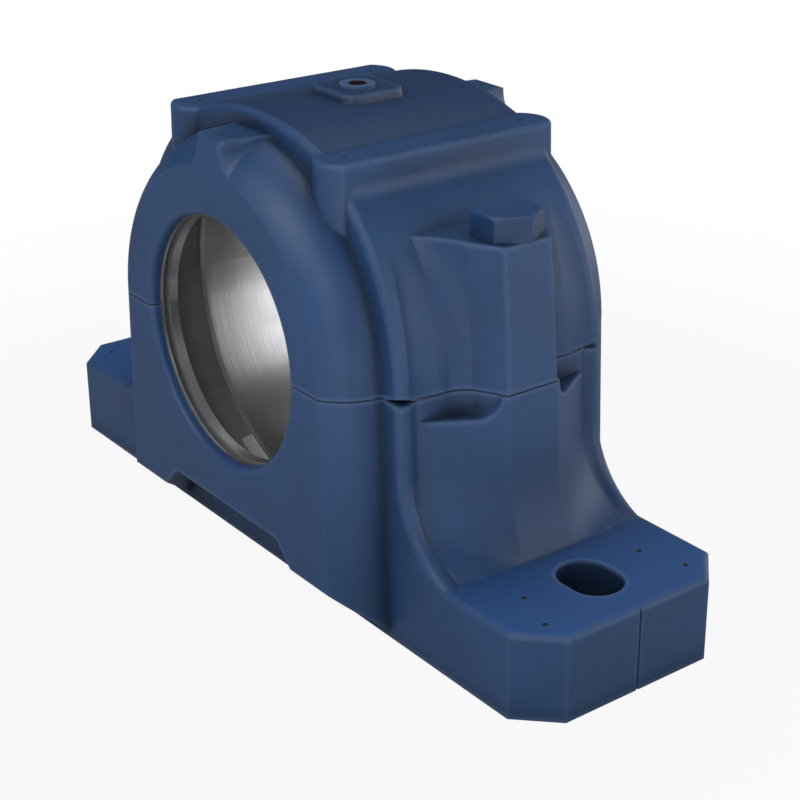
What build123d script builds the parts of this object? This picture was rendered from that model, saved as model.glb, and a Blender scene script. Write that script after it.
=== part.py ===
"""Split plummer block housing for an 80 mm shaft: cast base and cap, bolts, dowels and plug.

Frame: X runs along the base from foot to foot, Y along the shaft, Z up. The origin is the
centre of the base's underside, so the base rests on Z = 0. All sizes are in millimetres.
"""
from build123d import *
import os
from math import cos, radians, sin, sqrt, tan

os.makedirs("parts", exist_ok=True)

# --- overall sizes of the housing -------------------------------------------------------
base_length = 345.0  # over both feet
base_width = 100.0  # feet and flange
foot_height = 35.0
foot_corner = 15.0  # corner cut of a foot, seen from above
shaft_height = 100.0  # the shaft's centre and the parting plane
ring_reach = 20.0  # how far the ring stands out in front of the feet and the flange

# --- foundation slots -------------------------------------------------------------------
slot_inset = 27.5  # from the end of a foot in to its slot's middle
slot_width = 22.0
slot_length = 28.0

# --- bores ------------------------------------------------------------------------------
seat_radius = 80.0  # the bearing's outer ring
seat_width = 58.0
seat_chamfer = 0.5
seat_lead = 2.0  # length of the seat's chamfer, along the shaft
cavity_step = 2.5  # the cast chamber beside the seat is this much wider all round
cavity_width = 88.0
throat_radius = 64.0  # chamber next to the end walls
throat_slope = 7.0  # length of the slope from throat to chamber
seal_bore_radius = 51.2  # machined hole for the shaft and its seal
seal_lip_radius = 51.4  # cast mouth in front of the machined hole
seal_lip_depth = 4.4
seal_lip_round = 2.4  # rounding of the mouth, out into the end face
seal_groove_radius = 54.6
seal_groove_width = 2.6
seal_groove_depth = 5.7  # from the end face to the groove
end_wall = 12.5
ledge_width = 6.2  # cast ledge beside the seat, at the bottom of the chamber
ledge_step = 0.3  # below the edge of the seat's chamfer
ledge_angle = 67.0  # degrees
ledge_end = 1.8  # rounding of its ends
ledge_sink = 1.0  # how far it runs into the chamber's wall and the seat

# --- outer form of the ring -------------------------------------------------------------
face_radius = 70.9
dome_radius = 26.0  # rounding between the end face and the flange
dome_setback = 2.0  # from the flange's face in to the rounding's centre
ring_draft = 2.3  # degrees, below the parting plane
notch_rise = 9.5  # of the notch, above the ring's underside
notch_wall = 7.0  # iron between the notch and the chamber
notch_top_width = 77.0
notch_slope = 45.0  # degrees, of its ends
ring_foot = 2.5  # lower end of the slope under the ring

# --- cored hollows in the underside ---------------------------------------------------------
core_side_wall = 12.0
core_seat_wall = 10.0  # under the chamber
core_sweep_wall = 8.0  # under the sweep
core_slot_wall = 12.0  # beside a foundation slot
core_inner = 30.0  # from the middle, along X
core_roof = 46.0  # below the parting plane
core_edge = 4.0

# --- flange -----------------------------------------------------------------------------
flange_wall = 13.4  # iron around the seat
flange_draft = 0.8  # degrees, of the cap's front and back
flange_edge = 3.5
lip_dip = 1.3  # shallow hollow behind the flange's edge
lip_dip_inset = 11.5  # from the flange's face in to the hollow's middle
lip_dip_width = 13.0
lip_dip_rise = 42.0  # degrees it follows the cap's flange
lip_dip_fade = 6.0  # its path's centre beside the shaft, so that it runs out on the cap
lip_dip_fall = 80.0  # degrees that it follows the sweep
pry_front = 8.7  # wedge slot at a corner of the flange, along its front or back
pry_side = 11.0  # and along its side
pry_reach = 5.4  # from the slot's inner line out to the flange's corner
pry_rise = 2.2  # height of the slot at that corner, in the cap
pry_fall = 1.3  # and in the base

# --- sweep from the flange down to the foot ----------------------------------------------
wall_draft = 2.3  # degrees
sweep_rise = 37.5  # from the foot up to the sweep's start
sweep_radius = 39.5
sweep_sink = 1.0  # the sweep runs out just inside the foot
sweep_middle_angle = 45.0  # degrees, a point half way along the sweep
pocket_depth = 9.0  # of the pockets below the parting plane
apron_lead = 1.6  # how far the apron stands out in front of the pillar where the sweep starts
apron_half = 12.0  # half its width there
apron_inset = 8.0  # from the flange's face in to the apron's edge
apron_sink = 1.5  # how far its edges run into the wall
apron_steps = 5  # sections along the sweep

# --- bolt pillars -----------------------------------------------------------------------
pillar_wall = 16.8  # outer face at the parting plane, from the bolt's axis
pillar_half = 11.6  # half its width
pillar_rise = 56.2  # above the parting plane
pillar_lean = 4.9  # degrees, of the outer face
pillar_draft = 0.6  # degrees, of the outer face's edges
pillar_flank = 30.0  # degrees, of the flanks from X
pillar_bend_depth = 12.6  # from the outer face in to where a flank curves into the wall
pillar_root_half = 30.5
pillar_hollow = 1.1
pillar_sink = 0.3  # how far its edges run into the wall
pillar_depth = 12.0
pocket_end = 14.0  # inner end of a pocket under the parting plane, from the middle
pocket_corner = 8.0

# --- top of the cap ---------------------------------------------------------------------
rail_step = 7.4  # from the arch's crown down to the rails
rail_out = 60.4
rail_in = 43.0
rail_end_radius = 12.0
rail_mark_x = 50.8
rail_mark_inset = 7.9  # from the flange's face in to the middle of a rail's round end
rail_draft = 1.0  # degrees
rail_depth = 43.0
rail_root = 9.0
rail_edge = 1.6
arch_edge = 2.8
arch_wall = 10.4  # iron over the seat at the arch's crown
pad_step = 6.8  # from the arch's crown down to the pads
pad_depth = 25.0
pad_front_half = 8.3
pad_corner = 3.0
pad_back_half = 11.5
pad_root = 7.0
pad_hollow = 0.3  # how much of a flank's rise is left at its middle
pad_sink = 0.3  # how far its edges run into the ring
pad_inset = 3.0  # from the flange's face in to the pad's inner end
pad_mark_inset = 6.5  # from the end face
plug_step = 3.6  # from the arch's crown up to the top of the lubrication plug
lube_pad_side = 28.0
lube_pad_corner = 5.5
lube_pad_draft = 18.0  # degrees
lube_pad_depth = 6.0
foot_edge = 2.2

# --- centre marks -----------------------------------------------------------------------
mark_radius = 1.1
mark_depth = 1.2
foot_mark_insets = ((31.5, 21.1), (12.7, 14.9))  # from the foot's end and side
end_line_width = 1.0
end_line_depth = 0.6

# --- fasteners --------------------------------------------------------------------------
bolt_wall = 5.05  # iron between the seat and a bolt's hole
bolt_diameter = 16.0
bolt_length = 80.0
bolt_point = 1.5
bolt_head_height = 10.0
bolt_head_flats = 24.0
bolt_head_crown = 0.96  # radius of the head's flat top, as a share of half its flats
bolt_head_chamfer = 30.0  # degrees
bolt_hole_clearance = 0.75  # radial, in the cap
bolt_thread_clearance = 0.3  # radial, in the base
bolt_hole_spare = 6.0  # depth below the bolt's tip
pin_diameter = 6.0
pin_length = 18.0
pin_chamfer = 0.6
pin_wall = 4.0  # iron between the seat and a pin
pin_y = 25.0
pin_seat_clearance = 0.02
pin_cap_clearance = 0.1
pin_end_clearance = 0.5
plug_collar_radius = 7.3
plug_collar_height = 1.0
plug_radius = 4.8
plug_length = 9.0
plug_clearance = 0.3
plug_recess_radius = 3.6
plug_recess_depth = 5.0
plug_port_radius = 2.5
plug_end_clearance = 0.5

# --- values worked out from the above ----------------------------------------------------
flange_half = base_width / 2
body_half = flange_half + ring_reach
seat_half = seat_width / 2
cavity_half = cavity_width / 2
foot_end = base_length / 2
slot_spacing = base_length - 2 * slot_inset
cavity_radius = seat_radius + cavity_step
flange_radius = seat_radius + flange_wall
bolt_x = seat_radius + bolt_wall + bolt_diameter / 2 + bolt_hole_clearance
pin_x = seat_radius + pin_wall + pin_diameter / 2
pillar_top = shaft_height + pillar_rise
pillar_out = bolt_x + pillar_wall
pillar_bend = pillar_out - pillar_bend_depth
arch_top = shaft_height + seat_radius + arch_wall
rail_top = arch_top - rail_step
rail_mark_y = flange_half - rail_mark_inset
pad_top = arch_top - pad_step
pad_end = flange_half - pad_inset
pad_mark_y = body_half - pad_mark_inset
overall_height = arch_top + plug_step
notch_top = shaft_height - throat_radius - notch_wall
ring_bottom = notch_top - notch_rise
sweep_start = foot_height + sweep_rise
sweep_end = foot_height - sweep_sink
apron_top = shaft_height - pocket_depth
apron_out = pillar_out + apron_lead
apron_reach = flange_half - apron_inset
lip_dip_centre = flange_half - lip_dip_inset
dome_centre_y = flange_half - dome_setback
dome_centre_r = face_radius - sqrt(dome_radius**2 - (body_half - dome_centre_y) ** 2)
dome_middle_y = (body_half + flange_half) / 2
dome_middle_r = dome_centre_r + sqrt(dome_radius**2 - (dome_middle_y - dome_centre_y) ** 2)
ring_radius = dome_centre_r + sqrt(dome_radius**2 - (flange_half - dome_centre_y) ** 2)
lube_pad_top = overall_height - plug_collar_height
wall_at_sweep = flange_radius + (shaft_height - sweep_start) * tan(radians(wall_draft))
sweep_centre_x = wall_at_sweep + sweep_radius
sweep_drop = sweep_start - foot_height
sweep_reach = sweep_centre_x - sqrt(sweep_radius**2 - sweep_drop**2)
apron_radius = (sweep_drop**2 + (sweep_reach - apron_out) ** 2) / (2 * (sweep_reach - apron_out))
pry_x = flange_radius - pry_front / 2
pry_y = flange_half - pry_side / 2
dip_radius = (lip_dip_width**2 / 4 + lip_dip**2) / (2 * lip_dip)
dip_offset = dip_radius - lip_dip
bolt_tip = pillar_top - bolt_length
shaft_line = Axis((0, 0, shaft_height), (0, -1, 0))
position_error = 0.1  # for finding edges by their place
down_align = (Align.CENTER, Align.CENTER, Align.MAX)
bolt_head_cone_top = bolt_head_flats / 2 * bolt_head_crown
bolt_head_cone_bottom = bolt_head_cone_top + bolt_head_height / tan(radians(bolt_head_chamfer))


def ring_plan(height, spread):
    """Plan of the ring at one height, with domed corners between end face and flange."""
    face = face_radius + spread
    side = ring_radius + spread
    with BuildSketch(Plane.XY.offset(height)) as plan:
        with BuildLine():
            Polyline((face, -body_half), (0, -body_half), (0, 0), (side, 0), (side, -flange_half))
            ThreePointArc(
                (side, -flange_half),
                (dome_middle_r + spread, -dome_middle_y),
                (face, -body_half),
            )
        make_face()
        mirror(about=Plane.YZ)
        mirror(about=Plane.XZ)
    return plan.sketch


def pillar_plan(height):
    """Plan of one bolt pillar: half a hexagon whose flanks curve into the flange's wall."""
    rise = height - shaft_height
    out = pillar_out - rise * tan(radians(pillar_lean))
    half = pillar_half - rise * tan(radians(pillar_draft))
    wall = sqrt(flange_radius**2 - rise**2)
    bend = pillar_bend - rise * tan(radians(pillar_lean))
    bend_half = half + (out - bend) * tan(radians(pillar_flank))
    root = wall - pillar_sink
    middle = ((bend + root) / 2 - pillar_hollow, (bend_half + pillar_root_half) / 2 - pillar_hollow)
    with BuildSketch(Plane.XY.offset(height)) as plan:
        with BuildLine():
            Polyline(
                (root, pillar_root_half),
                (root - pillar_depth, pillar_root_half),
                (root - pillar_depth, 0),
                (out, 0),
                (out, half),
                (bend, bend_half),
            )
            ThreePointArc((bend, bend_half), middle, (root, pillar_root_half))
        make_face()
        mirror(about=Plane.XZ)
    return plan.sketch


def sweep_share(height):
    """How far the sweep has left the wall at a height: 1 at its start, 0 at its end."""
    drop = max(sweep_start - height, 0) / sweep_radius
    return sqrt(1 - drop**2)


def apron_plan(height):
    """Plan of one apron: a blunt wedge that starts as wide as the pillar and ends in the foot."""
    if height > sweep_start:
        rise = (height - sweep_start) / (shaft_height - sweep_start)
        wall = flange_radius + (shaft_height - height) * tan(radians(wall_draft))
        out = apron_out + (pillar_out - apron_out) * rise
        half = apron_half + (pillar_half - apron_half) * rise
    else:
        wall = sweep_centre_x - sweep_radius * sweep_share(height)
        out = apron_out + apron_radius - sqrt(apron_radius**2 - (sweep_start - height) ** 2)
        half = apron_half
    root = wall - apron_sink
    with BuildSketch(Plane.XY.offset(height)) as plan:
        with BuildLine():
            Polyline(
                (out, half),
                (root, apron_reach),
                (root - pillar_depth, apron_reach),
                (root - pillar_depth, -apron_reach),
                (root, -apron_reach),
                (out, -half),
                close=True,
            )
        make_face()
    return plan.sketch


def pad_section(y):
    """Section of an end pad across the shaft: flat top, flanks that curve into the ring."""
    share = (body_half - abs(y)) / (body_half - flange_half)
    half = pad_front_half + (pad_back_half - pad_front_half) * share
    radius = dome_centre_r + sqrt(dome_radius**2 - max(abs(y) - dome_centre_y, 0) ** 2)
    root = half + pad_root
    root_top = shaft_height + sqrt(radius**2 - root**2) - pad_sink
    middle = (half + pad_root * pad_hollow, root_top + (pad_top - root_top) * pad_hollow)
    with BuildSketch(Plane.XZ.offset(-y)) as section:
        with BuildLine():
            Polyline(
                (half, pad_top),
                (0, pad_top),
                (0, pad_top - pad_depth),
                (root, pad_top - pad_depth),
                (root, root_top),
            )
            ThreePointArc((root, root_top), middle, (half, pad_top))
        make_face()
        mirror(about=Plane.YZ)
    return section.sketch


# --- chamber, seat and bores, shared by both halves ---------------------------------------
with BuildPart() as chamber:
    with BuildSketch(Plane.XY.offset(shaft_height)) as chamber_profile:
        with BuildLine():
            Polyline(
                (0, 0),
                (seat_radius, 0),
                (seat_radius, seat_half - seat_lead),
                (seat_radius + seat_chamfer, seat_half),
                (cavity_radius, seat_half),
                (cavity_radius, cavity_half),
                (throat_radius, cavity_half + throat_slope),
                (throat_radius, body_half - end_wall),
                (seal_bore_radius, body_half - end_wall),
                (seal_bore_radius, body_half - seal_lip_depth),
                (seal_lip_radius, body_half - seal_lip_depth),
                (seal_lip_radius, body_half - seal_lip_round),
            )
            CenterArc(
                (seal_lip_radius + seal_lip_round, body_half - seal_lip_round), seal_lip_round, 180, -90
            )
            Polyline((seal_lip_radius + seal_lip_round, body_half), (0, body_half), (0, 0))
        make_face()
        with Locations((0, body_half - seal_groove_depth)):
            Rectangle(seal_groove_radius, seal_groove_width, align=(Align.MIN, Align.MAX))
        mirror(about=Plane.XZ)
    revolve(axis=shaft_line)

# --- wedge slots at the flange's corners, where cap and base are prised apart -----------------
with BuildPart() as pry_slots:
    pry_plane = Plane(
        (pry_x, pry_y, shaft_height),
        x_dir=(pry_side, pry_front, 0),
        z_dir=(pry_front, -pry_side, 0),
    )
    with BuildSketch(pry_plane):
        with BuildLine():
            Polyline((0, 0), (2 * pry_reach, 2 * pry_rise), (2 * pry_reach, -2 * pry_fall), close=True)
        make_face()
    extrude(amount=pry_side, both=True)
    mirror(about=Plane.XZ)
    mirror(about=Plane.YZ)

# --- bolt pillars, alike on both sides --------------------------------------------------------
with BuildPart() as cap_pillars:
    pillar_middle = (shaft_height + pillar_top) / 2
    loft([pillar_plan(shaft_height), pillar_plan(pillar_middle), pillar_plan(pillar_top)])
    mirror(about=Plane.YZ)

# --- cap: wedge between the front and back faces of flange and arch --------------------------
with BuildPart() as cap_faces:
    with BuildSketch(Plane.YZ):
        with BuildLine():
            lean = (arch_top - shaft_height) * tan(radians(flange_draft))
            Polyline(
                (flange_half, shaft_height),
                (flange_half - lean, arch_top),
                (lean - flange_half, arch_top),
                (-flange_half, shaft_height),
                close=True,
            )
        make_face()
    extrude(amount=flange_radius, both=True)

# --- cap: flange that curves up into the rails' outer sides ----------------------------------
with BuildPart() as cap_flange:
    shoulder = rail_top - rail_edge
    shoulder_x = rail_out + rail_edge * tan(radians(rail_draft))
    rail_foot_x = rail_out + rail_depth * tan(radians(rail_draft))
    with BuildSketch(Plane.XZ) as flange_outline:
        with Locations((0, shaft_height)):
            Circle(flange_radius)
            Rectangle(
                2 * flange_radius,
                shoulder - shaft_height,
                align=(Align.CENTER, Align.MIN),
                mode=Mode.INTERSECT,
            )
        with BuildLine():
            Polyline(
                (shoulder_x, shoulder),
                (rail_foot_x, rail_top - rail_depth),
                (-rail_foot_x, rail_top - rail_depth),
                (-shoulder_x, shoulder),
                close=True,
            )
        make_face()
        fillet(
            flange_outline.vertices().filter_by(lambda v: shoulder_x < abs(v.X) < rail_foot_x),
            rail_root,
        )
    extrude(amount=flange_half, both=True)
    add(cap_faces.part, mode=Mode.INTERSECT)
    fillet(cap_flange.edges().filter_by(GeomType.ELLIPSE), flange_edge)

# --- cap: arch and rails ----------------------------------------------------------------------
with BuildPart() as cap_arch:
    with BuildSketch(Plane.XZ):
        with BuildLine():
            Polyline(
                (-rail_in, rail_top),
                (-rail_in, rail_top - rail_depth),
                (rail_in, rail_top - rail_depth),
                (rail_in, rail_top),
            )
            ThreePointArc((-rail_in, rail_top), (0, arch_top), (rail_in, rail_top))
        make_face()
    extrude(amount=flange_half, both=True)
    add(cap_faces.part, mode=Mode.INTERSECT)
    fillet(cap_arch.edges().filter_by(GeomType.ELLIPSE), arch_edge)

with BuildPart() as cap_rails:
    with BuildSketch(Plane.XY.offset(rail_top)):
        with Locations((rail_mark_x, rail_mark_y), (rail_mark_x, -rail_mark_y)):
            Circle(rail_end_radius)
        with Locations((rail_mark_x, 0)):
            Rectangle(2 * rail_end_radius, 2 * rail_mark_y)
        Rectangle(2 * rail_out, 2 * body_half, mode=Mode.INTERSECT)
    extrude(amount=-rail_depth, taper=-rail_draft)
    fillet(cap_rails.faces().sort_by(Axis.Z)[-1].edges(), rail_edge)
    mirror(about=Plane.YZ)

# --- shallow hollows behind the edges of the cap's flange ------------------------------------
with BuildPart() as cap_dips:
    dip_path_radius = flange_radius + dip_offset
    with BuildSketch(Plane.XY.offset(shaft_height)):
        with Locations((dip_path_radius, lip_dip_centre), (dip_path_radius, -lip_dip_centre)):
            Circle(dip_radius)
    revolve(axis=Axis((-lip_dip_fade, 0, shaft_height), (0, -1, 0)), revolution_arc=lip_dip_rise)
    mirror(about=Plane.YZ)

# --- cap: pads at both ends ------------------------------------------------------------------
with BuildPart() as end_pads:
    loft([pad_section(-body_half), pad_section(-dome_middle_y), pad_section(-pad_end)])
    fillet(
        end_pads.edges().filter_by(
            lambda e: e.geom_type != GeomType.LINE and e.center().Y < position_error - body_half
        ),
        pad_corner,
    )
    mirror(about=Plane.XZ)

# --- cap ------------------------------------------------------------------------------------
with BuildPart() as housing_cap:
    with BuildSketch(Plane.XY.offset(shaft_height)):
        with BuildLine():
            Polyline((face_radius, -body_half), (0, -body_half), (0, 0), (ring_radius, 0))
            Line((ring_radius, 0), (ring_radius, -flange_half))
            ThreePointArc(
                (ring_radius, -flange_half),
                (dome_middle_r, -dome_middle_y),
                (face_radius, -body_half),
            )
        make_face()
        mirror(about=Plane.XZ)
    revolve(axis=shaft_line, revolution_arc=180)
    add(cap_flange.part)
    add(cap_dips.part, mode=Mode.SUBTRACT)
    add(cap_arch.part)
    add(cap_rails.part)
    add(cap_pillars.part)
    add(end_pads.part)
    add(pry_slots.part, mode=Mode.SUBTRACT)
    with BuildSketch(Plane.XY.offset(lube_pad_top)):
        RectangleRounded(lube_pad_side, lube_pad_side, lube_pad_corner)
    extrude(amount=-lube_pad_depth, taper=-lube_pad_draft)
    add(chamber.part, mode=Mode.SUBTRACT)
    with BuildSketch(Plane.XY.offset(shaft_height)):
        with Locations((bolt_x, 0), (-bolt_x, 0)):
            Circle(bolt_diameter / 2 + bolt_hole_clearance)
    extrude(amount=pillar_top - shaft_height, mode=Mode.SUBTRACT)
    with BuildSketch(Plane.XY.offset(shaft_height)):
        with Locations((pin_x, pin_y), (-pin_x, -pin_y)):
            Circle(pin_diameter / 2 + pin_cap_clearance)
    extrude(amount=pin_length / 2 + pin_end_clearance, mode=Mode.SUBTRACT)
    with Locations((0, 0, lube_pad_top)):
        Cylinder(
            plug_radius + plug_clearance,
            plug_length + plug_end_clearance,
            align=down_align,
            mode=Mode.SUBTRACT,
        )
        Cylinder(
            plug_port_radius,
            lube_pad_top - shaft_height,
            align=down_align,
            mode=Mode.SUBTRACT,
        )
    with GridLocations(2 * rail_mark_x, 2 * rail_mark_y, 2, 2):
        with Locations((0, 0, rail_top)):
            Cone(0, mark_radius, mark_depth, align=down_align, mode=Mode.SUBTRACT)
    with Locations((0, pad_mark_y, pad_top), (0, -pad_mark_y, pad_top)):
        Cone(0, mark_radius, mark_depth, align=down_align, mode=Mode.SUBTRACT)
housing_cap.part.label = "housing_cap"
export_step(housing_cap.part, "parts/housing_cap.step")

# --- base: pedestal under the flange --------------------------------------------------------
with BuildPart() as pedestal:
    with BuildSketch(Plane.XZ):
        with BuildLine():
            sweep_end_x = sweep_centre_x - sweep_radius * sweep_share(sweep_end)
            sweep_middle_z = sweep_start - sweep_radius * sin(radians(sweep_middle_angle))
            sweep_middle_x = sweep_centre_x - sweep_radius * sweep_share(sweep_middle_z)
            Polyline((0, shaft_height), (flange_radius, shaft_height), (wall_at_sweep, sweep_start))
            ThreePointArc(
                (wall_at_sweep, sweep_start),
                (sweep_middle_x, sweep_middle_z),
                (sweep_end_x, sweep_end),
            )
            Polyline((sweep_end_x, sweep_end), (sweep_end_x, 0), (0, 0), (0, shaft_height))
        make_face()
        mirror(about=Plane.YZ)
    extrude(amount=flange_half, both=True)
    fillet(
        pedestal.edges().filter_by(
            lambda e: abs(e.center().Y) > flange_half - flange_edge
            and abs(e.center().X) > flange_radius
            and sweep_end < e.center().Z < shaft_height
            and e.length > foot_edge
        ),
        flange_edge,
    )

# --- shallow hollows behind the edges of the base's flange and sweep --------------------------
with BuildPart() as base_dips:
    dip_start_x = wall_at_sweep + dip_offset
    with BuildSketch(Plane.XY.offset(sweep_start)) as dip_circles:
        with Locations((dip_start_x, lip_dip_centre), (dip_start_x, -lip_dip_centre)):
            Circle(dip_radius)
    extrude(
        amount=shaft_height - sweep_start, dir=(-sin(radians(wall_draft)), 0, cos(radians(wall_draft)))
    )
    revolve(
        dip_circles.sketch,
        axis=Axis((sweep_centre_x, 0, sweep_start), (0, -1, 0)),
        revolution_arc=lip_dip_fall,
    )
    mirror(about=Plane.YZ)

# --- base: foot plate ------------------------------------------------------------------------
with BuildPart() as foot_plate:
    with BuildSketch():
        foot_outline = Rectangle(base_length, base_width)
        chamfer(foot_outline.vertices(), foot_corner)
    extrude(amount=foot_height)
    fillet(foot_plate.faces().sort_by(Axis.Z)[-1].edges(), foot_edge)

# --- base: aprons below the bolt pillars -----------------------------------------------------
with BuildPart() as apron:
    apron_step = (sweep_start - sweep_end) / apron_steps
    loft([apron_plan(shaft_height), apron_plan(sweep_start)], ruled=True)
    loft([apron_plan(sweep_start - apron_step * step) for step in range(apron_steps + 1)])
    mirror(about=Plane.YZ)

# --- base: pockets below the parting plane, on both sides of each bolt pillar --------------------
with BuildPart() as pockets:
    with BuildSketch(Plane.YZ.offset(flange_radius)) as pocket_outline:
        with BuildLine():
            Polyline(
                (pocket_end, shaft_height),
                (pocket_end, apron_top),
                (apron_reach + apron_sink, apron_top),
                (apron_reach + apron_sink, shaft_height),
                close=True,
            )
        make_face()
        fillet(
            pocket_outline.vertices().sort_by(Axis.X)[0:2].sort_by(Axis.Y)[0], pocket_corner
        )
        mirror(about=Plane.YZ)
    extrude(amount=apron_out - flange_radius)
    with BuildSketch(Plane.XY.offset(shaft_height)):
        add(pillar_plan(shaft_height))
    extrude(amount=apron_top - shaft_height, mode=Mode.SUBTRACT)
    mirror(about=Plane.YZ)

# --- cast ledges beside the seat, at the bottom of the chamber ----------------------------------
with BuildPart() as ledges:
    ledge_top = seat_radius + seat_chamfer + ledge_step
    ledge_root = cavity_radius + ledge_sink
    half_angle = radians(ledge_angle / 2)
    ledge_plane = Plane(
        (0, 0, shaft_height),
        x_dir=(-sin(half_angle), 0, -cos(half_angle)),
        z_dir=(cos(half_angle), 0, -sin(half_angle)),
    )
    with BuildSketch(ledge_plane):
        with BuildLine():
            Polyline(
                (ledge_top, seat_half),
                (ledge_top, seat_half - ledge_sink),
                (ledge_root, seat_half - ledge_sink),
                (ledge_root, seat_half + ledge_width),
            )
            EllipticalCenterArc(
                (ledge_root, seat_half),
                ledge_root - ledge_top,
                ledge_width,
                start_angle=90,
                arc_size=90,
            )
        make_face()
    revolve(axis=shaft_line, revolution_arc=ledge_angle)
    fillet(ledges.edges().filter_by(lambda e: e.geom_type == GeomType.ELLIPSE), ledge_end)
    mirror(about=Plane.XZ)

# --- cored hollows in the base's underside, outside the seat -------------------------------------
with BuildPart() as cores:
    core_seat_radius = cavity_radius + core_seat_wall
    core_sweep_radius = sweep_radius + core_sweep_wall
    core_outer = (slot_spacing - slot_length) / 2 - core_slot_wall
    roof = shaft_height - core_roof
    roof_inner = (sqrt(core_seat_radius**2 - core_roof**2), roof)
    roof_outer = (sweep_centre_x - sqrt(core_sweep_radius**2 - (sweep_start - roof) ** 2), roof)
    inner_top = (core_inner, shaft_height - sqrt(core_seat_radius**2 - core_inner**2))
    outer_top = (core_outer, sweep_start - sqrt(core_sweep_radius**2 - (sweep_centre_x - core_outer) ** 2))
    with BuildSketch(Plane.XZ):
        with BuildLine():
            Polyline(inner_top, (core_inner, 0), (core_outer, 0), outer_top)
            RadiusArc(outer_top, roof_outer, core_sweep_radius)
            Line(roof_outer, roof_inner)
            RadiusArc(roof_inner, inner_top, core_seat_radius)
        make_face()
        mirror(about=Plane.YZ)
    extrude(amount=flange_half - core_side_wall, both=True)
    fillet(cores.edges().filter_by(Axis.Y).filter_by(lambda e: e.center().Z > core_edge), core_edge)

# --- base ------------------------------------------------------------------------------------
with BuildPart() as housing_base:
    ring_spread = shaft_height * tan(radians(ring_draft))
    loft([ring_plan(shaft_height, 0), ring_plan(0, ring_spread)])
    with BuildSketch(Plane.YZ):
        with BuildLine():
            Polyline(
                (0, 0),
                (flange_half, 0),
                (flange_half, ring_foot),
                (body_half, ring_bottom),
                (body_half, shaft_height),
                (0, shaft_height),
                (0, 0),
            )
        make_face()
        mirror(about=Plane.YZ)
    extrude(amount=ring_radius + ring_spread, both=True, mode=Mode.INTERSECT)
    with BuildSketch(Plane.XZ):
        with BuildLine():
            notch_spread = notch_top / tan(radians(notch_slope))
            Polyline(
                (-notch_top_width / 2, notch_top),
                (notch_top_width / 2, notch_top),
                (notch_top_width / 2 + notch_spread, 0),
                (-notch_top_width / 2 - notch_spread, 0),
                close=True,
            )
        make_face()
    extrude(amount=body_half, both=True, mode=Mode.SUBTRACT)
    add(pedestal.part)
    add(base_dips.part, mode=Mode.SUBTRACT)
    add(foot_plate.part)
    add(apron.part)
    add(pockets.part, mode=Mode.SUBTRACT)
    add(pry_slots.part, mode=Mode.SUBTRACT)
    add(chamber.part, mode=Mode.SUBTRACT)
    add(ledges.part)
    add(cores.part, mode=Mode.SUBTRACT)
    with BuildSketch():
        with GridLocations(slot_spacing, 0, 2, 1):
            SlotOverall(slot_length, slot_width)
    extrude(amount=foot_height, mode=Mode.SUBTRACT)
    with Locations((bolt_x, 0, shaft_height), (-bolt_x, 0, shaft_height)):
        Cylinder(
            bolt_diameter / 2 + bolt_thread_clearance,
            shaft_height - bolt_tip + bolt_hole_spare,
            align=down_align,
            mode=Mode.SUBTRACT,
        )
    with Locations((pin_x, pin_y, shaft_height), (-pin_x, -pin_y, shaft_height)):
        Cylinder(
            pin_diameter / 2 + pin_seat_clearance,
            pin_length / 2,
            align=down_align,
            mode=Mode.SUBTRACT,
        )
    for end_inset, side_inset in foot_mark_insets:
        with Locations((0, 0, foot_height)):
            with GridLocations(2 * (foot_end - end_inset), 2 * (flange_half - side_inset), 2, 2):
                Cone(0, mark_radius, mark_depth, align=down_align, mode=Mode.SUBTRACT)
    with Locations((foot_end, 0, 0), (-foot_end, 0, 0)):
        Box(
            2 * end_line_depth,
            end_line_width,
            foot_height,
            align=(Align.CENTER, Align.CENTER, Align.MIN),
            mode=Mode.SUBTRACT,
        )
housing_base.part.label = "housing_base"
export_step(housing_base.part, "parts/housing_base.step")

# --- cap bolts ---------------------------------------------------------------------------------
with BuildPart() as cap_bolt_right:
    with BuildSketch(Plane((bolt_x, 0, pillar_top))):
        RegularPolygon(bolt_head_flats / 2, 6, major_radius=False)
    extrude(amount=bolt_head_height)
    with Locations((bolt_x, 0, pillar_top)):
        Cone(
            bolt_head_cone_bottom,
            bolt_head_cone_top,
            bolt_head_height,
            align=(Align.CENTER, Align.CENTER, Align.MIN),
            mode=Mode.INTERSECT,
        )
        Cylinder(bolt_diameter / 2, bolt_length, align=down_align)
    chamfer(cap_bolt_right.edges().filter_by(GeomType.CIRCLE).sort_by(Axis.Z)[0], bolt_point)
cap_bolt_right.part.label = "cap_bolt_right"
export_step(cap_bolt_right.part, "parts/cap_bolt_right.step")

with BuildPart() as cap_bolt_left:
    add(mirror(cap_bolt_right.part, about=Plane.YZ, mode=Mode.PRIVATE))
cap_bolt_left.part.label = "cap_bolt_left"
export_step(cap_bolt_left.part, "parts/cap_bolt_left.step")

# --- dowel pins ----------------------------------------------------------------------------------
with BuildPart() as dowel_pin_right:
    with Locations((pin_x, pin_y, shaft_height)):
        Cylinder(pin_diameter / 2, pin_length)
    chamfer(dowel_pin_right.edges().filter_by(GeomType.CIRCLE), pin_chamfer)
dowel_pin_right.part.label = "dowel_pin_right"
export_step(dowel_pin_right.part, "parts/dowel_pin_right.step")

with BuildPart() as dowel_pin_left:
    with Locations((-pin_x, -pin_y, shaft_height)):
        Cylinder(pin_diameter / 2, pin_length)
    chamfer(dowel_pin_left.edges().filter_by(GeomType.CIRCLE), pin_chamfer)
dowel_pin_left.part.label = "dowel_pin_left"
export_step(dowel_pin_left.part, "parts/dowel_pin_left.step")

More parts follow.
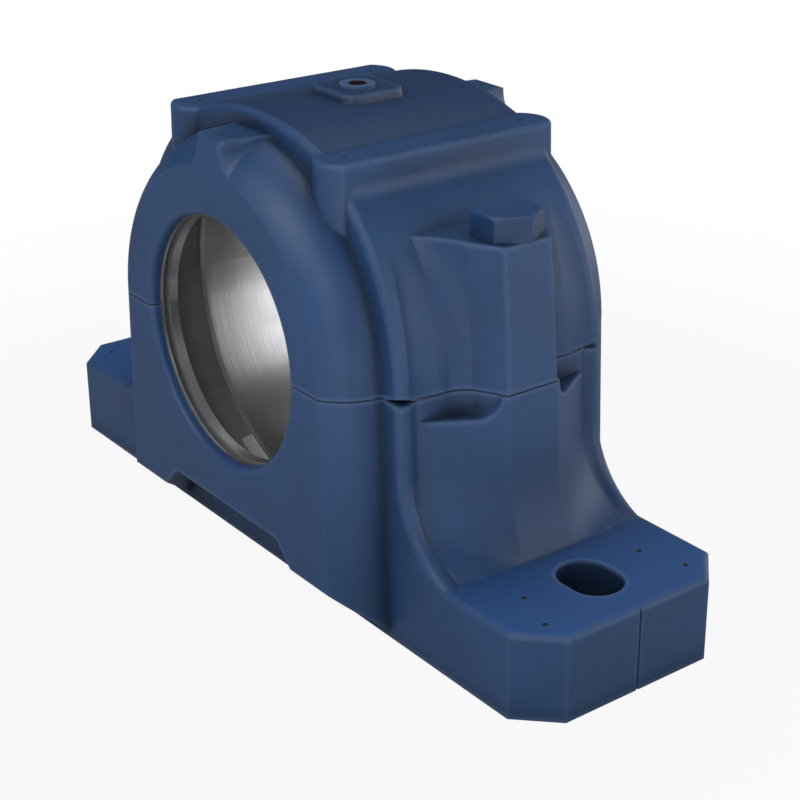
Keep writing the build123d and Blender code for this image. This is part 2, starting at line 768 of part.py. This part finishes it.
# --- lubrication plug ------------------------------------------------------------------------------
with BuildPart() as lubrication_plug:
    with Locations((0, 0, lube_pad_top)):
        Cylinder(plug_radius, plug_length, align=down_align)
    with Locations((0, 0, overall_height)):
        Cylinder(plug_collar_radius, plug_collar_height, align=down_align)
        Cylinder(plug_recess_radius, plug_recess_depth, align=down_align, mode=Mode.SUBTRACT)
lubrication_plug.part.label = "lubrication_plug"
export_step(lubrication_plug.part, "parts/lubrication_plug.step")
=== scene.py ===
"""Looks of the split plummer block housing: painted castings, machined bores, bolts, dowels and plug."""
from math import cos, radians, sin

import bpy
from mathutils import Matrix, Vector

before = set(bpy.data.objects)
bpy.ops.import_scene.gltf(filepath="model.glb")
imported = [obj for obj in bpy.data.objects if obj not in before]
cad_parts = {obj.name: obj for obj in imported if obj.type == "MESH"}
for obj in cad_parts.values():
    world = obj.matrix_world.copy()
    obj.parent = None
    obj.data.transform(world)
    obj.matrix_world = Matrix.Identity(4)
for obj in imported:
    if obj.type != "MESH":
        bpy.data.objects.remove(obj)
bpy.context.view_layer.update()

# --- places on the housing, in metres -----------------------------------------------------
HAIR = 0.00005  # a position this near a plane lies on it
SHAFT_HEIGHT = 0.100
SEAT_RADIUS = 0.080
SEAT_HALF = 0.029
SEAT_EDGE_RADIUS = 0.0805
CHAMBER_RADIUS = 0.0825
CHAMBER_HALF = 0.044
CHAMBER_BLEND = 0.005  # rough iron reaches this far past the chamber's end
LEDGE_WIDTH = 0.008  # painted light: paler iron low beside the seat, on what stands in from the chamber's wall
LEDGE_STEP = 0.0006
THROAT_RADIUS = 0.064
THROAT_BLEND = 0.006
SEAL_LAND_START = 0.0575
SEAL_LAND_END = 0.0656
SEAL_LIP_RADIUS = 0.0514
SEAL_GROOVE_RADIUS = 0.0548
SEAL_GROOVE_START = 0.0614
SEAL_GROOVE_END = 0.0646
ARCH_RADIUS = 0.0890
ARCH_HALF = 0.046
ARCH_HALF_WIDTH = 0.044
FOOT_TOP_LOW = 0.030  # a level face between these two heights is the top of a foot
FOOT_TOP_HIGH = 0.036
BOLT_X = 0.0938
BOLT_HOLE_RADIUS = 0.009
BOLT_HOLE_BOTTOM = 0.069
BOLT_HOLE_TOP = 0.1560
BOLT_SEAT_HEIGHT = 0.1562  # underside of the bolt heads
BOLT_EDGE_RADIUS = 0.0007
CASTING_EDGE_RADIUS = 0.0016
PLUG_SEAT_HEIGHT = 0.193  # underside of the plug's collar
PLUG_RECESS_RADIUS = 0.0037
PLUG_RECESS_FLOOR = 0.1885

# centre marks, one in each quarter: distances from the housing's two middle planes
MARKS = ((0.1410, 0.0289), (0.1598, 0.0351), (0.0508, 0.0421), (0.0, 0.0635))
MARK_RADIUS = 0.00115
MARK_LOWEST = 0.033
MARK_ON_RAIL = 0.178  # marks are above this height on the cap,
MARK_ON_FOOT = 0.13  # or further out than this on the feet

# --- what counts as level, from the upward part of a face's direction ----------------------------
LEVEL = 0.9
LEVEL_FOOT_TOP = 0.95
LOOKS_UP = 0.05
HEAD_TOP_TURN = (0.5, 0.8)  # from the side of a bolt head to its top

# --- colours, and how far each one covers ----------------------------------------------------
BLUE_PAINT = (0.024, 0.081, 0.225)
BLUE_PAINT_DEEP = (0.020, 0.068, 0.190)
# painted light: a lighter blue for the tops of the feet
BLUE_PAINT_LIT = (0.029, 0.100, 0.295)
# painted shade: a darker blue laid over the arch and the sides of the bolt heads
BLUE_PAINT_SHADED = (0.010, 0.044, 0.135)
ARCH_PAINTED_SHADE = 0.85
HEAD_SIDE_PAINTED_SHADE = 0.95
# painted highlight: a lighter blue along convex edges, where rounded edges catch light
PAINT_EDGE_HIGHLIGHT = (0.080, 0.160, 0.330)
EDGE_HIGHLIGHT_SHARE = 0.8
BOLT_EDGE_HIGHLIGHT_SHARE = 0.15
CORNER_SHADE = (0.006, 0.012, 0.026)
CORNER_STRENGTH = 1.25
NOOK_STRENGTH = 0.75
SEAM_SHADE = (0.004, 0.008, 0.018)
SEAM_STRENGTH = 0.75
BRIGHT_IRON = (0.90, 0.90, 0.91)
WORN_IRON = (0.80, 0.80, 0.81)
RAW_IRON = (0.26, 0.26, 0.265)
# painted light on the ledges beside the seat
PAINTED_LIGHT_IRON = (0.50, 0.50, 0.505)
OILED_IRON = (0.17, 0.17, 0.175)
GROUND_STEEL = (0.62, 0.63, 0.65)
BARE_STEEL = (0.42, 0.42, 0.43)
RED_PRIMER = (0.035, 0.012, 0.010)
FLOOR_PALE = (0.50, 0.50, 0.50)
FLOOR_GLEAM = 0.08  # how far the floor near the housing is white to glossy surfaces
WHITE = (1.0, 1.0, 1.0)

# --- roughness ---------------------------------------------------------------------------------
PAINT_ROUGHNESS = 0.35
IRON_ROUGHNESS = 0.20
CAST_SKIN_ROUGHNESS = 0.25  # what the rough iron adds to the roughness of paint
GROUND_STEEL_ROUGHNESS = 0.22
BARE_STEEL_ROUGHNESS = 0.32
PAINT_GLOSS = 0.5

# --- sizes of what varies, in metres -------------------------------------------------------------
MOTTLE_SIZE = 0.030
GRAIN_SIZE = 0.0016
LUMP_SIZE = 0.007
SMEAR_SIZE = 0.022
CAST_SKIN_SIZE = 0.012
CORNER_REACH = 0.060
NOOK_REACH = 0.008
EDGE_REACH = 0.0024
SEAM_HALF = 0.00015
SEAM_FADE = 0.00040
SEAM_CUT = 1.5  # depth of the seam, against the height of the sand grain
CASTING_RELIEF = 0.00012
STEEL_RELIEF = 0.00006
GRINDING_RELIEF = 0.00002
TURNING_MARKS = (40, 3500, 12)  # marks in a metre: outwards, along the bore, upwards
GRINDING_MARKS = (3000, 3000, 90)  # marks in a metre along X, Y and Z
SHADE_SAMPLES = 3  # for each of the finishes' corner, edge and rounding nodes

# --- floor, light and view -----------------------------------------------------------------------
FLOOR_REACH = 6.0
FLOOR_NEAR_TO_FAR = (0.20, 0.50)  # from here to there the floor becomes plain white to the lens
FLOOR_WHITE_NEAR = 0.92
BACKDROP_WAY = (0.87, 0.49)  # towards the white backdrop, seen from above
BACKDROP_START = (0.30, 0.80)  # how far off the floor turns into the backdrop
BACKDROP_GLEAM = 0.9
FRONT_WAY = (0.62, -0.78)  # towards the pale sweep of floor in front
FRONT_START = (0.12, 0.30)
FRONT_GLEAM = 0.6
SKY_TURN = (0.45, 0.90)  # directions this near to the backdrop's are white to glossy surfaces
SKY_RISE = (0.40, 0.85)  # up to these heights of the sky
SKY_GLEAM = 0.85
SKY_LEVEL = 0.068
HOUSING_MIDDLE = (0.04, 0.0, 0.09)
FLOOR_SPREAD = 70  # degrees, keeps a floor lamp's light off the housing

SENSOR = 36.0  # millimetres
PICTURE = 800  # pixels, as the next two are
VIEW_FOCAL_LENGTH = 1796.94
VIEW_CENTRE = (455.74, 367.85)
VIEW_AZIMUTH = 51.544
VIEW_ELEVATION = 23.037
VIEW_ROLL = 0.309
VIEW_TARGET = (0.07725, -0.01071, 0.100)
VIEW_DISTANCE = 0.68712


class Socket:
    """A socket of a shader tree that Python's operators work on."""

    def __init__(self, finish, link):
        self.finish = finish
        self.link = link

    def _math(self, operation, a, b):
        return self.finish.node("ShaderNodeMath", {"operation": operation}, {0: a, 1: b})

    def __add__(self, other):
        return self._math("ADD", self, other)

    def __radd__(self, other):
        return self._math("ADD", other, self)

    def __sub__(self, other):
        return self._math("SUBTRACT", self, other)

    def __rsub__(self, other):
        return self._math("SUBTRACT", other, self)

    def __mul__(self, other):
        return self._math("MULTIPLY", self, other)

    def __rmul__(self, other):
        return self._math("MULTIPLY", other, self)

    def __pow__(self, other):
        return self._math("POWER", self, other)

    def __abs__(self):
        return self._math("ABSOLUTE", self, 0.0)

    def __lt__(self, other):
        return self._math("LESS_THAN", self, other)

    def __gt__(self, other):
        return self._math("GREATER_THAN", self, other)


class ShaderTree:
    """The nodes of one material or of the world."""

    def __init__(self, tree):
        self.tree = tree

    def plug_in(self, socket, value):
        if isinstance(value, Socket):
            self.tree.links.new(value.link, socket)
        elif isinstance(value, tuple) and len(value) == 3 and len(socket.default_value) == 4:
            socket.default_value = (*value, 1.0)
        else:
            socket.default_value = value

    def node(self, kind, settings=None, inputs=None, output=0):
        """Adds a node, sets it up, fills its inputs and gives back one of its outputs."""
        node = self.tree.nodes.new(kind)
        for name, value in (settings or {}).items():
            setattr(node, name, value)
        for name, value in (inputs or {}).items():
            self.plug_in(node.inputs[name], value)
        return Socket(self, node.outputs[output])

    def split(self, vector):
        """The X, Y and Z of a vector."""
        return [self.node("ShaderNodeSeparateXYZ", {}, {0: vector}, axis) for axis in "XYZ"]

    def place(self):
        """A point's position on the piece at rest, in metres: as a vector, and as X, Y and Z."""
        where = self.node("ShaderNodeTexCoord", output="Object")
        return where, *self.split(where)

    def ray(self, *kinds):
        """A mask that is 1 for rays of the given kinds."""
        return either(self, *(self.node("ShaderNodeLightPath", output=f"Is {kind} Ray") for kind in kinds))

    def openness(self, reach, inside=False, own=True):
        """How open the surface is within a reach: low in corners or, inside, low along outer edges."""
        settings = {"samples": SHADE_SAMPLES, "inside": inside, "only_local": own}
        return self.node("ShaderNodeAmbientOcclusion", settings, {"Distance": reach}, "AO")

    def noise(self, where, grain, detail=2.0, roughness=0.5):
        """Noise from 0 to 1 whose lumps are about a grain wide, in metres."""
        return self.node(
            "ShaderNodeTexNoise",
            {"noise_dimensions": "3D"},
            {"Vector": where, "Scale": 1.0 / grain, "Detail": detail, "Roughness": roughness},
        )

    def streaks(self, parts, marks, detail):
        """Noise drawn out along the axes, with so many marks in a metre along each."""
        drawn_out = {axis: part * count for axis, part, count in zip("XYZ", parts, marks)}
        return self.noise(self.node("ShaderNodeCombineXYZ", {}, drawn_out), 1.0, detail)

    def soft_edges(self, radius):
        """The surface's direction, with its sharp edges rounded by a radius."""
        return self.node("ShaderNodeBevel", {"samples": SHADE_SAMPLES}, {"Radius": radius})

    def facing(self):
        """The upward part of the surface's direction: 1 on top, 0 on an upright face."""
        return self.split(self.node("ShaderNodeTexCoord", output="Normal"))[2]

    def ramp(self, value, low, high, at_low=0.0, at_high=1.0):
        """Carries a value from one range to another, smoothly, and stops at its ends."""
        return self.node(
            "ShaderNodeMapRange",
            {"interpolation_type": "SMOOTHSTEP"},
            {"Value": value, "From Min": low, "From Max": high, "To Min": at_low, "To Max": at_high},
        )

    def blend(self, share, first, second):
        """Blends two colours or numbers: the first where share is 0, the second where it is 1."""
        if isinstance(first, (int, float)) and isinstance(second, (int, float)):
            return share * (second - first) + first
        return self.node(
            "ShaderNodeMix",
            {"data_type": "RGBA"},
            {"Factor": share, 6: first, 7: second},
            2,
        )

    def bump(self, height, distance, strength, normal=None):
        inputs = {"Height": height, "Distance": distance, "Strength": strength}
        if normal is not None:
            inputs["Normal"] = normal
        return self.node("ShaderNodeBump", {}, inputs)


class Finish(ShaderTree):
    """A procedural material: a Principled shader and the nodes that feed it."""

    def __init__(self, name, **settings):
        self.material = bpy.data.materials.new(name)
        self.material.use_nodes = True
        super().__init__(self.material.node_tree)
        self.tree.nodes.clear()
        self.shader = self.tree.nodes.new("ShaderNodeBsdfPrincipled")
        self.output = self.tree.nodes.new("ShaderNodeOutputMaterial")
        self.tree.links.new(self.shader.outputs[0], self.output.inputs["Surface"])
        for name, value in settings.items():
            self.set(name.replace("_", " "), value)

    def set(self, name, value):
        self.plug_in(self.shader.inputs[name], value)


def both(first, *others):
    """A mask that is 1 where all the given masks are."""
    for other in others:
        first = first * other
    return first


def either(finish, first, *others):
    """A mask that is 1 where any of the given masks is."""
    for other in others:
        first = finish.node("ShaderNodeMath", {"operation": "MAXIMUM"}, {0: first, 1: other})
    return first


def paint_coat(finish, where, painted_light_share=0.0, dark=0.0, highlight_share=EDGE_HIGHLIGHT_SHARE):
    """Satin paint over a sand casting: colour with painted shade in corners and a painted highlight along
    edges, roughness and surface height.
    """
    mottle = finish.noise(where, MOTTLE_SIZE, 3.0)
    grain = finish.noise(where, GRAIN_SIZE, 3.0, 0.6)
    lumps = finish.noise(where, LUMP_SIZE)
    colour = finish.blend(finish.ramp(mottle, 0.3, 0.7), BLUE_PAINT_DEEP, BLUE_PAINT)
    # painted light: a lighter blue on the tops of the feet
    colour = finish.blend(painted_light_share, colour, BLUE_PAINT_LIT)
    # painted shade: a darker blue on the arch and on the sides of the bolt heads
    colour = finish.blend(dark, colour, BLUE_PAINT_SHADED)
    # painted shade: darker paint in corners and crevices, and under or between pieces for the short reach
    corner = (1 - finish.openness(CORNER_REACH)) * CORNER_STRENGTH
    colour = finish.blend(corner, colour, CORNER_SHADE)
    nook = finish.ramp(finish.openness(NOOK_REACH, own=False), 0.35, 0.95, NOOK_STRENGTH, 0.0)
    colour = finish.blend(nook, colour, CORNER_SHADE)
    # painted highlight: a lighter blue along the outer edges
    edge_highlight = finish.ramp(finish.openness(EDGE_REACH, inside=True), 0.60, 0.98, 1.0, 0.0)
    colour = finish.blend(edge_highlight * highlight_share, colour, PAINT_EDGE_HIGHLIGHT)
    roughness = PAINT_ROUGHNESS + 0.12 * grain + 0.06 * mottle
    height = 0.7 * grain + 0.6 * lumps
    return colour, roughness, height


def around_shaft(x, y, z):
    """A point's distance from the shaft's line, its height over it, and its distance from mid-housing."""
    rise = z - SHAFT_HEIGHT
    return (x * x + rise * rise) ** 0.5, rise, abs(y)


def machined_iron(finish, x, y, z, facing):
    """Masks of the casting's bare iron: bright machined faces, the rough chamber, and its ledges."""
    radius, rise, depth = around_shaft(x, y, z)
    across = abs(x) - BOLT_X
    from_bolt = (across * across + y * y) ** 0.5

    seat = both(radius < SEAT_EDGE_RADIUS + HAIR, depth < SEAT_HALF - HAIR)
    seat_end = both(radius < CHAMBER_RADIUS - HAIR, radius > SEAT_RADIUS, abs(depth - SEAT_HALF) < HAIR)
    seal_land = both(
        radius < SEAL_LIP_RADIUS - 2 * HAIR, depth > SEAL_LAND_START - 2 * HAIR, depth < SEAL_LAND_END + HAIR
    )
    seal_groove = both(radius < SEAL_GROOVE_RADIUS, depth > SEAL_GROOVE_START, depth < SEAL_GROOVE_END)
    joint = both(abs(rise) < HAIR, abs(facing) > LEVEL)
    sole = both(z < HAIR, facing < -LEVEL)
    bolt_hole = both(from_bolt < BOLT_HOLE_RADIUS, z > BOLT_HOLE_BOTTOM, z < BOLT_HOLE_TOP)
    bright = either(finish, seat, seat_end, seal_land * (1 - seal_groove), joint, sole, bolt_hole)

    beside_seat = both(radius < CHAMBER_RADIUS + HAIR, depth < CHAMBER_HALF + CHAMBER_BLEND)
    behind_land = both(radius < THROAT_RADIUS + THROAT_BLEND, depth < SEAL_LAND_START + HAIR)
    rough = either(finish, beside_seat, behind_land, seal_groove) * (1 - bright)
    stands_in = both(radius < CHAMBER_RADIUS - LEDGE_STEP, rise < 0)
    ledge = both(stands_in, depth > SEAT_HALF + HAIR, depth < SEAT_HALF + LEDGE_WIDTH)
    return bright, rough, ledge


def painted_casting(finish, where, x, y, z, facing):
    """The casting's paint: painted shade darkens the arch, painted light brightens the tops of the feet, and
    painted shade fills the centre marks.
    """
    radius, _, depth = around_shaft(x, y, z)
    foot_top = both(z < FOOT_TOP_HIGH, z > FOOT_TOP_LOW, facing > LEVEL_FOOT_TOP)
    arch = both(radius > ARCH_RADIUS, depth < ARCH_HALF, abs(x) < ARCH_HALF_WIDTH)
    colour, roughness, height = paint_coat(finish, where, foot_top, arch * ARCH_PAINTED_SHADE)
    marks = [
        ((abs(x) - mark_x) ** 2.0 + (depth - mark_y) ** 2.0) ** 0.5 < MARK_RADIUS for mark_x, mark_y in MARKS
    ]
    on_rail_or_foot = either(finish, z > MARK_ON_RAIL, abs(x) > MARK_ON_FOOT)
    mark = both(either(finish, *marks), z > MARK_LOWEST, on_rail_or_foot, facing > LOOKS_UP)
    # painted shade: near-black in the centre marks' recesses
    return finish.blend(mark, colour, SEAM_SHADE), roughness, height


def casting(name):
    """Painted iron casting, machined in its bores, on its seat and on its flat joint faces."""
    finish = Finish(name, Specular_IOR_Level=PAINT_GLOSS)
    where, x, y, z = finish.place()
    facing = finish.facing()
    radius, rise, _ = around_shaft(x, y, z)
    bright, rough, ledge = machined_iron(finish, x, y, z, facing)
    painted, paint_roughness, paint_height = painted_casting(finish, where, x, y, z, facing)
    seam = finish.ramp(abs(rise), SEAM_HALF, SEAM_FADE, 1.0, 0.0) * (1 - bright) * (1 - rough)
    painted = finish.blend(seam * SEAM_STRENGTH, painted, SEAM_SHADE)

    turned = finish.streaks((radius, y, z), TURNING_MARKS, 2.0)
    smear = finish.noise(where, SMEAR_SIZE, 3.0)
    iron = finish.blend(finish.ramp(smear, 0.35, 0.75), BRIGHT_IRON, WORN_IRON)
    iron_roughness = IRON_ROUGHNESS + 0.05 * turned + 0.05 * smear
    cast_skin = finish.blend(finish.noise(where, CAST_SKIN_SIZE, 4.0), RAW_IRON, OILED_IRON)
    # painted light: the ledges beside the seat are paler than the rest of the chamber
    cast_skin = finish.blend(ledge, cast_skin, PAINTED_LIGHT_IRON)

    finish.set("Base Color", finish.blend(bright, finish.blend(rough, painted, cast_skin), iron))
    roughness = paint_roughness * (1 - bright) + iron_roughness * bright + rough * CAST_SKIN_ROUGHNESS
    finish.set("Roughness", roughness)
    finish.set("Metallic", bright)

    as_cut = finish.node("ShaderNodeNewGeometry", output="Normal")
    soft = finish.soft_edges(CASTING_EDGE_RADIUS)
    edges = finish.node("ShaderNodeMix", {"data_type": "VECTOR"}, {"Factor": bright, 4: soft, 5: as_cut}, 1)
    height = paint_height * (1 - bright) + 0.35 * turned * bright - seam * SEAM_CUT
    finish.set("Normal", finish.bump(height, CASTING_RELIEF, 0.9, edges))
    return finish.material


def coat_or_steel(finish, bare, colour, roughness):
    """Sets a painted colour and roughness, or bare steel where the mask is 1."""
    finish.set("Base Color", finish.blend(bare, colour, BARE_STEEL))
    finish.set("Roughness", roughness * (1 - bare) + BARE_STEEL_ROUGHNESS * bare)
    finish.set("Metallic", bare)


def bolt_finish(name):
    """A bolt: its head is painted, with painted shade on the head's sides, and the shank below it is bare.
    """
    finish = Finish(name, Specular_IOR_Level=PAINT_GLOSS)
    where, _, _, z = finish.place()
    # painted shade: the sides of the head are darker than its top
    side = finish.ramp(finish.facing(), *HEAD_TOP_TURN, HEAD_SIDE_PAINTED_SHADE, 0.0)
    colour, roughness, height = paint_coat(finish, where, dark=side, highlight_share=BOLT_EDGE_HIGHLIGHT_SHARE)
    coat_or_steel(finish, z < BOLT_SEAT_HEIGHT + HAIR, colour, roughness)
    soft = finish.soft_edges(BOLT_EDGE_RADIUS)
    finish.set("Normal", finish.bump(height, STEEL_RELIEF, 0.8, soft))
    return finish.material


def plug_finish(name):
    """The plug: painted collar, dark primer in its recess, bare shank."""
    finish = Finish(name, Specular_IOR_Level=PAINT_GLOSS)
    where, x, y, z = finish.place()
    colour, roughness, height = paint_coat(finish, where)
    radius = (x * x + y * y) ** 0.5
    recess = both(radius < PLUG_RECESS_RADIUS, z > PLUG_RECESS_FLOOR)
    shank = (z < PLUG_SEAT_HEIGHT + HAIR) * (1 - recess)
    coat_or_steel(finish, shank, finish.blend(recess, colour, RED_PRIMER), roughness)
    finish.set("Normal", finish.bump(height, STEEL_RELIEF, 0.8))
    return finish.material


def ground_steel(name):
    """Ground steel with fine marks along its length."""
    finish = Finish(name, Metallic=1.0)
    _, x, y, z = finish.place()
    marks = finish.streaks((x, y, z), GRINDING_MARKS, 1.0)
    finish.set("Base Color", GROUND_STEEL)
    finish.set("Roughness", GROUND_STEEL_ROUGHNESS + 0.14 * marks)
    finish.set("Normal", finish.bump(marks, GRINDING_RELIEF, 0.5))
    return finish.material


def give(node, material):
    """Puts one material on every slot of a CAD node."""
    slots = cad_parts[node].data.materials
    slots.clear()
    slots.append(material)


casting_paint = casting("blue_painted_casting")
bolt_paint = bolt_finish("blue_painted_bolt")
pin_steel = ground_steel("ground_dowel_steel")
give("housing_base", casting_paint)
give("housing_cap", casting_paint)
for side in ("right", "left"):
    give(f"cap_bolt_{side}", bolt_paint)
    give(f"dowel_pin_{side}", pin_steel)
give("lubrication_plug", plug_finish("painted_plug"))


# --- floor and light ------------------------------------------------------------------------
def along(x, y, way):
    """How far a place lies along a level direction."""
    return x * way[0] + y * way[1]


def pale_floor():
    """A plain pale floor that stays white to the camera and sends little light back up."""
    mesh = bpy.data.meshes.new("floor")
    corners = [(FLOOR_REACH * x, FLOOR_REACH * y, 0) for x, y in ((-1, -1), (1, -1), (1, 1), (-1, 1))]
    mesh.from_pydata(corners, [], [(0, 1, 2, 3)])
    floor = bpy.data.objects.new("floor", mesh)
    bpy.context.scene.collection.objects.link(floor)
    finish = Finish("pale_floor", Roughness=1.0, Specular_IOR_Level=0.0)
    _, x, y, _ = finish.place()
    finish.set("Base Color", FLOOR_PALE)
    pale = Socket(finish, finish.shader.outputs[0])
    glow = finish.node("ShaderNodeEmission", {}, {"Color": WHITE, "Strength": 1.0})
    away = finish.ramp((x * x + y * y) ** 0.5, *FLOOR_NEAR_TO_FAR, FLOOR_WHITE_NEAR, 1.0)
    behind = finish.ramp(along(x, y, BACKDROP_WAY), *BACKDROP_START, FLOOR_GLEAM, BACKDROP_GLEAM)
    before = finish.ramp(along(x, y, FRONT_WAY), *FRONT_START, 0.0, FRONT_GLEAM)
    gleam = finish.ray("Glossy") * either(finish, behind, before)
    share = finish.ray("Camera", "Transmission") * away + gleam
    mixed = finish.node("ShaderNodeMixShader", {}, {0: share, 1: pale, 2: glow})
    finish.tree.links.new(mixed.link, finish.output.inputs["Surface"])
    mesh.materials.append(finish.material)


def softbox(name, place, aim, size, watts, spread=180):
    """A square studio lamp that looks at a point; its grid keeps the light within the spread."""
    lamp = bpy.data.lights.new(name, "AREA")
    lamp.size = size
    lamp.energy = watts
    lamp.spread = radians(spread)
    box = bpy.data.objects.new(name, lamp)
    bpy.context.scene.collection.objects.link(box)
    box.location = place
    box.rotation_euler = (Vector(aim) - Vector(place)).to_track_quat("-Z", "Y").to_euler()


def studio_world(level):
    """Even light all round. The lens sees white, and so do glossy surfaces low down behind the housing."""
    world = bpy.data.worlds.new("studio")
    bpy.context.scene.world = world
    world.use_nodes = True
    sky = ShaderTree(world.node_tree)
    x, y, z = sky.split(sky.node("ShaderNodeTexCoord", output="Generated"))
    behind = sky.ramp(along(x, y, BACKDROP_WAY), *SKY_TURN) * sky.ramp(z, *SKY_RISE, SKY_GLEAM, 0.0)
    white = either(sky, sky.ray("Camera"), sky.ray("Glossy") * behind)
    background = sky.tree.nodes["Background"]
    sky.plug_in(background.inputs["Color"], WHITE)
    sky.plug_in(background.inputs["Strength"], sky.blend(white, level, 1.0))


def camera_view(azimuth, elevation, roll, target, distance, focal, centre):
    """A camera that looks at target; focal length and picture centre are in pixels of the picture."""
    turn, tilt, lean = radians(azimuth), radians(elevation), radians(roll)
    back = Vector((sin(turn) * cos(tilt), -cos(turn) * cos(tilt), sin(tilt)))
    right = Vector((cos(turn), sin(turn), 0))
    up = back.cross(right)
    right, up = right * cos(lean) + up * sin(lean), up * cos(lean) - right * sin(lean)
    lens = bpy.data.cameras.new("view")
    lens.sensor_width = SENSOR
    lens.lens = focal / PICTURE * SENSOR
    lens.shift_x = (PICTURE / 2 - centre[0]) / PICTURE
    lens.shift_y = (centre[1] - PICTURE / 2) / PICTURE
    lens.clip_start = 0.01
    camera = bpy.data.objects.new("view", lens)
    bpy.context.scene.collection.objects.link(camera)
    turned = Matrix((right, up, back)).transposed().to_4x4()
    camera.matrix_world = Matrix.Translation(Vector(target) + back * distance) @ turned
    bpy.context.scene.camera = camera


pale_floor()
studio_world(SKY_LEVEL)
softbox("top_back", (-0.25, 0.35, 1.5), HOUSING_MIDDLE, 0.9, 4.2)
softbox("top_front", (0.05, -0.95, 1.25), HOUSING_MIDDLE, 0.9, 7.5)
softbox("front", (0.90, -0.80, 0.85), HOUSING_MIDDLE, 0.4, 2.2)
softbox("low_back", (0.1, 1.3, 0.4), HOUSING_MIDDLE, 0.8, 3.1)
softbox("near_right", (0.6, 0.15, 0.30), HOUSING_MIDDLE, 0.3, 0.15)
softbox("floor_right", (0.65, 0.15, 0.5), (0.65, 0.15, 0.0), 0.4, 1.8, FLOOR_SPREAD)
softbox("floor_front", (0.55, -0.5, 0.5), (0.55, -0.5, 0.0), 0.4, 4.5, FLOOR_SPREAD)
softbox("near_left", (-0.35, -0.70, 0.60), HOUSING_MIDDLE, 0.4, 0.35)
softbox("low_front", (-0.3, -1.3, 0.5), HOUSING_MIDDLE, 0.6, 0.5)
softbox("low_right", (1.0, -1.0, 0.3), HOUSING_MIDDLE, 0.6, 1.0)
softbox("back_right", (0.9, 0.75, 0.45), HOUSING_MIDDLE, 0.9, 1.6)
camera_view(
    VIEW_AZIMUTH, VIEW_ELEVATION, VIEW_ROLL, VIEW_TARGET, VIEW_DISTANCE, VIEW_FOCAL_LENGTH, VIEW_CENTRE
)
bpy.context.scene.view_settings.view_transform = "Standard"
